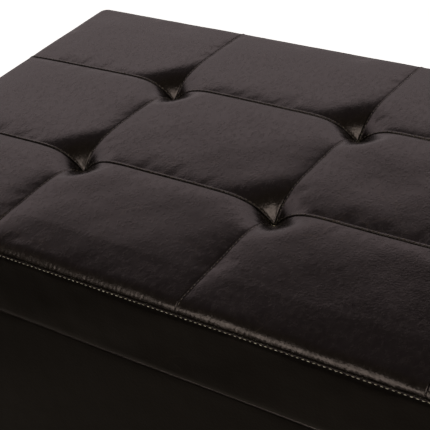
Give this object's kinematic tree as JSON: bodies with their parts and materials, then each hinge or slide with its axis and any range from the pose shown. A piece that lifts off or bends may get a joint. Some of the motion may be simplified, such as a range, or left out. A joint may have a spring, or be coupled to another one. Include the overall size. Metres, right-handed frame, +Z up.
{
  "type": "storage ottoman",
  "caption": "Low rectangular storage ottoman: a leather-covered box with a hinged, grid-tufted padded lid held open by slotted stays.",
  "frame": {"origin": "on the floor, under the middle of the bounding box", "axes": "+Z up, +X to the user's right along the long side, -Y towards the front; the lid is hinged at the back, +Y"},
  "size_m": [0.91, 0.4794, 0.445],
  "materials": {
    "leather": "dark brown bonded leather, satin, fine grain",
    "board": "raw fibreboard",
    "post": "sawn softwood",
    "foam": "open-cell upholstery foam",
    "lining": "black non-woven fabric",
    "foot": "dark stained wood, satin",
    "zinc_steel": "zinc-plated steel",
    "twine": "waxed tufting twine",
    "rubber": "matte black"
  },
  "bodies": {
    "base": {"base_back_board": "board", "base_back_cover": "leather", "base_bottom_board": "board", "base_front_board": "board", "base_front_cover": "leather", "base_left_board": "board", "base_left_cover": "leather", "base_right_board": "board", "base_right_cover": "leather", "bumper_left": "rubber", "bumper_right": "rubber", "corner_post_back_left": "post", "corner_post_back_right": "post", "corner_post_front_left": "post", "corner_post_front_right": "post", "dust_cover": "lining", "foot_back_left": "foot", "foot_back_right": "foot", "foot_front_left": "foot", "foot_front_right": "foot", "hinge_left_base_leaf": "zinc_steel", "hinge_left_pin": "zinc_steel", "hinge_right_base_leaf": "zinc_steel", "hinge_right_pin": "zinc_steel", "lining_floor": "lining", "lining_walls": "lining", "stay_left_stud": "zinc_steel", "stay_right_stud": "zinc_steel"},
    "lid": {"hinge_left_lid_leaf": "zinc_steel", "hinge_right_lid_leaf": "zinc_steel", "lid_back_band": "leather", "lid_board": "board", "lid_foam": "foam", "lid_front_band": "leather", "lid_left_band": "leather", "lid_lining": "lining", "lid_right_band": "leather", "stay_left_bracket": "zinc_steel", "stay_right_bracket": "zinc_steel", "top_panel_row1_col1": "leather", "top_panel_row1_col2": "leather", "top_panel_row1_col3": "leather", "top_panel_row1_col4": "leather", "top_panel_row2_col1": "leather", "top_panel_row2_col2": "leather", "top_panel_row2_col3": "leather", "top_panel_row2_col4": "leather", "top_panel_row3_col1": "leather", "top_panel_row3_col2": "leather", "top_panel_row3_col3": "leather", "top_panel_row3_col4": "leather", "tuft_tie_1": "twine", "tuft_tie_2": "twine", "tuft_tie_3": "twine", "tuft_tie_4": "twine", "tuft_tie_5": "twine", "tuft_tie_6": "twine"},
    "stay_left": {"stay_left_arm": "zinc_steel"},
    "stay_right": {"stay_right_arm": "zinc_steel"}
  },
  "joints": [
    {"name": "lid_hinge", "type": "hinge", "parent": "base", "child": "lid", "pos_m": [0, 0.23675, 0.3552], "axis": [-1, 0, 0], "range_deg": [0, 85]},
    {"name": "stay_left_pivot", "type": "hinge", "parent": "lid", "child": "stay_left", "pos_m": [-0.42655, 0.08732, 0.34213], "axis": [1, 0, 0], "range_deg": [0, 42.5]},
    {"name": "stay_right_pivot", "type": "hinge", "parent": "lid", "child": "stay_right", "pos_m": [0.42655, 0.08732, 0.34213], "axis": [1, 0, 0], "range_deg": [0, 42.5]}
  ],
  "couplings": [
    {"joint": "stay_left_pivot", "follows": "lid_hinge", "ratio": 0.5},
    {"joint": "stay_right_pivot", "follows": "lid_hinge", "ratio": 0.5}
  ]
}
